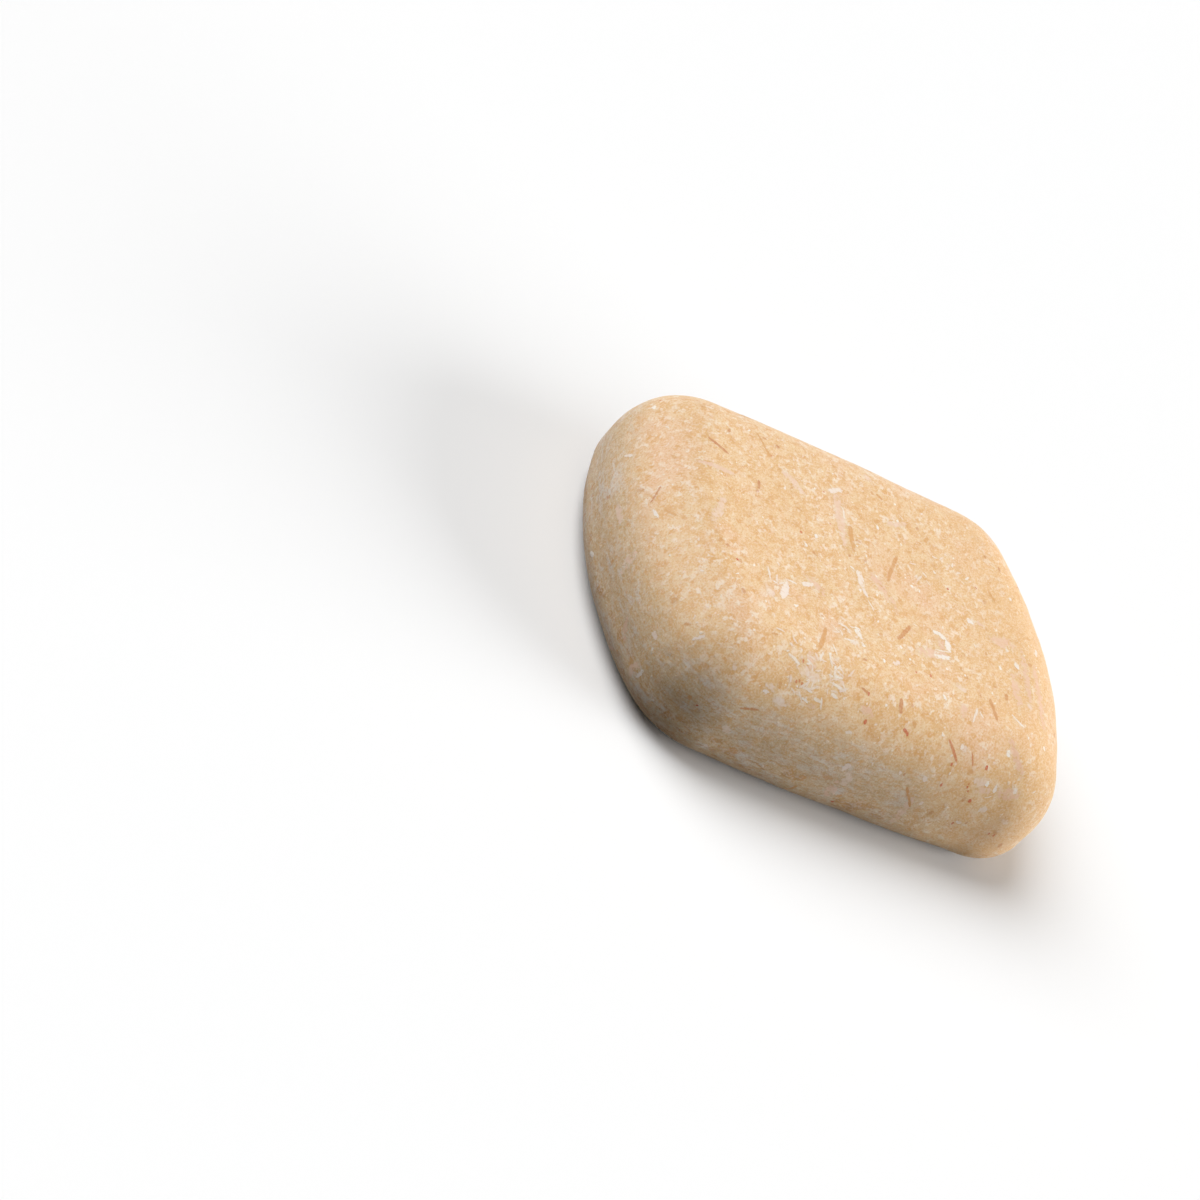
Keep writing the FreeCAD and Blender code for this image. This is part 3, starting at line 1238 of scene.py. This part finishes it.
def pale_chips() -> BeddedPieces:
    """Describe the whitish chips."""
    return BeddedPieces(
        "pale_chips",
        BeddedFinish(Tone.FLECK, Tone.BLOSSOM, strength=0.95, rim=0.3, edge=0.35, ragged=0.6,
                     grain_size=0.45 * MM),
        Bedding(taper=0.7, bend=0.3 * MM, ragged=0.35 * MM, flatness=0.03, steps=12, sides=10),
        Strewn(0.4 * PER_SQUARE_CM, 0.4 * MM, 2.6 * MM, 0.5 * MM, 1.2 * MM, 6 * MM, 41),
        (
            *lay(TOP, (-3.5, -0.5, -3.2, -4.5, 1.5, 0.5), (-3.2, -4.0, -2.8, -6.5, 0.8, 0.6),
                 (-5.0, -0.5, -4.0, -1.0, 0.6, 0.1), (-19.0, -10.5, -21.0, -15.0, 1.5, 0.5),
                 (-16.0, -9.5, -13.5, -8.5, 1.1, 0.4), (-22.0, -11.5, -21.0, -12.0, 0.6, 0.2),
                 (-6.5, 15.0, -3.0, 17.0, 1.2, 0.6), (-11.0, 3.0, 1.3, 0.2),
                 (-13.5, 0.0, 1.1, 0.0), (3.0, 11.5, 1.3, 0.0), (7.5, 10.0, 0.8, 0.0),
                 (-2.5, 5.0, 0.8, 0.1), (-1.0, 3.5, 0.8, 0.2), (10.2, -7.4, 11.6, -7.4, 1.0, 0.0),
                 (11.2, -7.3, 12.9, -8.2, 1.3, 0.0), (12.9, -8.2, 12.6, -10.8, 1.5, 0.0),
                 (9.0, -13.2, 13.0, -12.0, 1.1, 0.2), (-6.5, -14.0, -6.0, -16.5, 1.4, 0.1),
                 (-6.0, -17.0, -5.5, -18.0, 0.7, 0.1), (-13.0, -22.5, 0.9, 0.0),
                 (-12.0, -24.5, 1.2, 0.2), (-2.0, -27.0, 0.9, 0.2),
                 (18.5, -1.5, 20.0, -1.0, 1.3, 0.1), (23.5, -9.5, 1.1, 0.1),
                 (27.5, -6.5, 27.5, -8.0, 1.0, 0.2), (23.5, -19.0, 26.0, -21.0, 0.5, 0.3),
                 (26.5, -22.5, 1.0, 0.3), (30.5, -22.5, 1.2, 0.0), (22.5, -26.5, 1.6, 0.0),
                 (13.5, -28.3, 1.4, 0.5)),
            *lay(NEAR, (20.2, 16.8, 1.5, 0.1), (25.6, 17.2, 1.5, 0.5),
                 (22.0, 17.0, 22.0, 16.0, 0.7, 0.4), (-4.0, 12.5, -4.3, 10.8, 1.3, 0.9),
                 (4.7, 14.0, 1.0, 0.6), (19.2, 9.6, 20.3, 9.6, 0.8, 0.8), (11.5, 10.5, 1.2, 0.9),
                 (9.0, 15.0, 9.5, 14.0, 0.9, 0.8), (21.5, 13.0, 1.3, 0.9)),
        ),
    )


def white_curls() -> BeddedPieces:
    """Describe the small white curls and crumbs, gathered in a few drifts."""
    return BeddedPieces(
        "white_curls",
        BeddedFinish(Tone.FLECK, Tone.BLOSSOM, strength=0.8, rim=0.08, edge=0.6, ragged=0.35,
                     grain_size=0.35 * MM),
        Bedding(taper=0.8, bend=2.2 * MM, ragged=0.1 * MM, flatness=0.04, steps=9, sides=6),
        Strewn(0.7 * PER_SQUARE_CM, 0.3 * MM, 1.2 * MM, 0.24 * MM, 0.4 * MM, 1.5 * MM, 67),
        (
            *lay(TOP, (-20.7, -25.2, -18.4, -26.4, 0.7, 0.1),
                 (-17.6, -28.9, -13.8, -28.3, 0.5, 0.5), (-14.6, -29.8, -13.2, -29.8, 0.7, 0.0),
                 (-12.9, -26.8, -9.4, -27.3, 0.6, 0.1), (-11.7, -28.4, -10.6, -28.9, 0.7, 0.1),
                 (-10.2, -14.9, -8.0, -15.6, 0.5, 0.2), (-9.3, -18.2, -6.9, -17.8, 0.5, 0.2),
                 (16.0, -20.9, 14.8, -24.0, 0.5, 0.1), (16.4, -21.7, 17.1, -22.6, 0.4, 0.2),
                 (-3.0, -7.0, -2.0, -9.0, 0.4, 0.1), (-4.0, 13.5, -4.0, 10.0, 0.5, 0.1)),
            *lay(NEAR, (-8.0, 16.4, -6.4, 16.4, 0.6, 0.6)),
            *crumble((-20.0, -25.0), (-13.5, -28.5), 3.4, 34, 5),
            *crumble((-13.0, -22.5), (-9.5, -28.0), 2.8, 18, 6),
            *crumble((-10.0, -15.0), (-5.5, -17.5), 2.6, 9, 7),
            *crumble((8.5, 3.5), (14.5, 6.5), 1.8, 9, 8),
            *crumble((15.5, 11.5), (20.0, 7.5), 2.6, 10, 9),
            *crumble((-22.0, -9.5), (-18.0, -12.5), 2.4, 8, 10),
            *crumble((9.0, -12.5), (13.5, -8.5), 2.0, 6, 12),
        ),
    )


def rosy_smears() -> BeddedPieces:
    """Describe the broad faint smears, where paler soap was folded in."""
    return BeddedPieces(
        "rosy_smears",
        BeddedFinish(Tone.ROSE, Tone.BLOSSOM, strength=0.76, rim=0.24, edge=0.75, ragged=0.7,
                     grain_size=0.8 * MM),
        Bedding(taper=0.8, bend=0.6 * MM, ragged=0.35 * MM, flatness=0.004, steps=16, sides=12),
        Strewn(0.45 * PER_SQUARE_CM, 2.0 * MM, 8.0 * MM, 1.0 * MM, 2.2 * MM, 8 * MM, 53),
        (
            *lay(TOP, (-4.7, 16.5, -5.1, 2.5, 2.0, 0.4), (-23.5, -13.0, -22.5, -15.5, 1.6, 0.8),
                 (5.5, -13.4, 13.2, -12.0, 2.6, 0.2), (11.5, -8.3, 11.4, -11.0, 1.6, 0.0),
                 (-16.5, -23.5, -16.5, -26.5, 2.2, 0.3), (-19.0, -26.5, -14.0, -27.5, 2.2, 0.9),
                 (-15.5, -30.5, -14.0, -30.5, 1.0, 0.3), (-7.0, -28.5, -3.5, -29.0, 1.6, 0.0),
                 (-10.5, -26.0, -11.0, -27.5, 1.3, 0.8), (20.5, -0.5, 22.0, -1.0, 1.2, 0.3),
                 (22.5, -3.5, 28.5, -2.5, 2.8, 0.2), (12.5, -17.5, 15.0, -18.5, 1.3, 0.8),
                 (13.5, -21.0, 13.0, -24.0, 1.5, 0.1), (28.0, -14.5, 28.5, -16.5, 0.9, 0.8),
                 (26.3, -8.8, 25.8, -17.4, 2.0, 0.1), (29.5, -2.5, 28.6, -15.5, 1.5, 0.1),
                 (31.7, -4.5, 31.1, -19.5, 1.9, 0.0), (22.8, -24.0, 25.5, -29.0, 0.8, 0.2)),
            *lay(NEAR, (17.5, 16.5, 21.0, 17.0, 1.7, 0.8), (18.5, 15.5, 21.5, 16.0, 1.6, 0.3),
                 (22.5, 16.0, 27.0, 17.0, 2.3, 0.0), (22.5, 21.5, 26.0, 18.5, 1.8, 0.0),
                 (13.5, 19.5, 14.5, 19.5, 1.3, 1.0), (21.5, 13.5, 22.5, 13.0, 1.4, 1.0),
                 (26.0, 12.5, 28.0, 12.5, 1.2, 0.8), (-26.0, 10.0, -24.0, 9.0, 1.6, 1.0),
                 (-21.5, 16.5, -18.5, 16.5, 1.3, 1.0), (-23.5, 18.0, -21.0, 17.5, 1.1, 1.0)),
            *lay(TOP, (-29.0, -29.0, 1.6, 0.9)),
        ),
    )


# ---------------------------------------------------------------- studio


@dataclass(frozen=True)
class Lamp:
    """A soft sun lamp, with its width seen from the bar in degrees and the way towards it."""

    name: str
    strength: float
    spread: float
    towards: tuple[float, float, float]
    glints: bool = True

    def hang(self) -> None:
        """Hang the lamp, which shows as a sheen on what it lights only if it glints."""
        data = bpy.data.lights.new(self.name, "SUN")
        data.energy = self.strength
        data.angle = math.radians(self.spread)
        lamp = stand(self.name, data)
        lamp.rotation_euler = Vector(self.towards).to_track_quat("Z", "Y").to_euler()
        lamp.visible_glossy = self.glints


@dataclass
class Studio:
    """A plain pale floor, an even sky and two soft lamps.

    The key lamp hangs high behind the bar. The fill lamp hangs low at its right end, where
    its glint would wipe out the top seen from behind, so it gives none.
    """

    floor_span: float = 6.0
    floor_roughness: float = 0.9
    floor_colour: Colour = (0.98, 0.98, 0.98)
    bounce_colour: Colour = (0.10, 0.10, 0.10)
    sky: float = 0.10
    lamps: tuple[Lamp, ...] = (
        Lamp("key_lamp", 2.75, 54, (-0.48, 0.43, 0.765)),
        Lamp("fill_lamp", 4.20, 50, (0.935, -0.30, 0.15), glints=False),
    )

    def build(self) -> None:
        """Lay the floor, light the sky and hang the lamps."""
        self.floor()
        self.world()
        for lamp in self.lamps:
            lamp.hang()

    def floor(self) -> None:
        """Lay the floor under the bar."""
        half = self.floor_span / 2
        mesh = bpy.data.meshes.new("floor")
        mesh.from_pydata([(-half, -half, 0), (half, -half, 0), (half, half, 0), (-half, half, 0)],
                         [], [(0, 1, 2, 3)])
        floor = stand("floor", mesh)
        material = bpy.data.materials.new("studio_floor")
        material.use_nodes = True
        shader = material.node_tree.nodes["Principled BSDF"]
        shader.inputs["Roughness"].default_value = self.floor_roughness
        shader.inputs["Specular IOR Level"].default_value = 0.0
        bench = NodeBench(material.node_tree)
        bench.feed(shader.inputs["Base Color"], bench.blend(
            self.seen(bench), (*self.bounce_colour, 1.0), (*self.floor_colour, 1.0)))
        mesh.materials.append(material)

    @staticmethod
    def seen(bench: NodeBench) -> Socket:
        """Return 1 for a ray that shows what it meets, and 0 for one that only brings light."""
        path = bench.add("ShaderNodeLightPath").outputs
        return bench.sum("MAXIMUM", bench.sum(
            "MAXIMUM", path["Is Camera Ray"], path["Is Glossy Ray"]), path["Is Transmission Ray"])

    def world(self) -> None:
        """Light the scene evenly from all round, white where the camera sees past the floor."""
        world = bpy.data.worlds.new("studio_sky")
        world.use_nodes = True
        bpy.context.scene.world = world
        bench = NodeBench(world.node_tree)
        background = world.node_tree.nodes["Background"]
        background.inputs["Color"].default_value = (1.0, 1.0, 1.0, 1.0)
        bench.feed(background.inputs["Strength"], bench.sum(
            "MULTIPLY_ADD", self.seen(bench), 1.0 - self.sky, self.sky))


@dataclass(frozen=True)
class Viewpoint:
    """Where the camera stands, turned about the bar's middle on the floor."""

    azimuth: float = -35.4
    elevation: float = 33.6
    roll: float = 43.8
    distance: float = 570.7 * MM
    slide_right: float = -30.0 * MM
    slide_up: float = 9.1 * MM
    lens: float = 108.0
    sensor: float = 36.0
    nearest_seen: float = 10 * MM

    def place(self) -> None:
        """Stand the camera and make it the scene's own."""
        turn, rise, roll = map(math.radians, (self.azimuth, self.elevation, self.roll))
        forward = Vector((-math.sin(turn) * math.cos(rise), math.cos(turn) * math.cos(rise),
                          -math.sin(rise)))
        level = Vector((math.cos(turn), math.sin(turn), 0.0))
        upright = level.cross(forward)
        right = level * math.cos(roll) + upright * math.sin(roll)
        up = upright * math.cos(roll) - level * math.sin(roll)
        spot = right * self.slide_right + up * self.slide_up - forward * self.distance
        data = bpy.data.cameras.new("camera")
        data.lens = self.lens
        data.sensor_width = self.sensor
        data.clip_start = self.nearest_seen
        camera = stand("camera", data)
        axes = Matrix((right, up, -forward)).transposed().to_4x4()
        camera.matrix_world = Matrix.Translation(spot) @ axes
        bpy.context.scene.camera = camera


# ---------------------------------------------------------------- the whole bar


@dataclass
class ShampooBar:
    """The dressed bar: its pressed cake and what is mixed into it."""

    form: BarForm
    relief: Relief = field(default_factory=Relief)
    finish: SoapFinish = field(default_factory=SoapFinish)

    def build(self) -> list[Item]:
        """Build and dress every piece.

        Returns:
            The finished pieces, the cake first.
        """
        smooth = self.form.build()
        cake = self.relief.press(smooth, "pressed_cake", self.finish.material())
        bpy.data.objects.remove(smooth)
        kinds = (rosy_smears(), tan_spots(), plant_fibres(), pale_chips(), white_curls(),
                 husk_specks())
        tree = BeddingTree(kinds[0].settings()).build()
        pieces = [cake, *(kind.build(self.form, cake, tree, self.finish) for kind in kinds)]
        for piece in pieces:
            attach(piece, BODY)
        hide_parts(NODE)
        return pieces


def main() -> None:
    """Build the dressed bar, the studio and the camera, and note the sizes."""
    logging.basicConfig(level=logging.INFO, format="%(name)s: %(message)s")
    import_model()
    low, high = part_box(NODE)
    for piece in ShampooBar(BarForm(Vector(low), Vector(high))).build():
        LOG.info("%s: %d faces", piece.name, len(piece.data.polygons))
    Studio().build()
    Viewpoint().place()
    bpy.context.scene.view_settings.view_transform = "Standard"


if __name__ == "__main__":
    main()
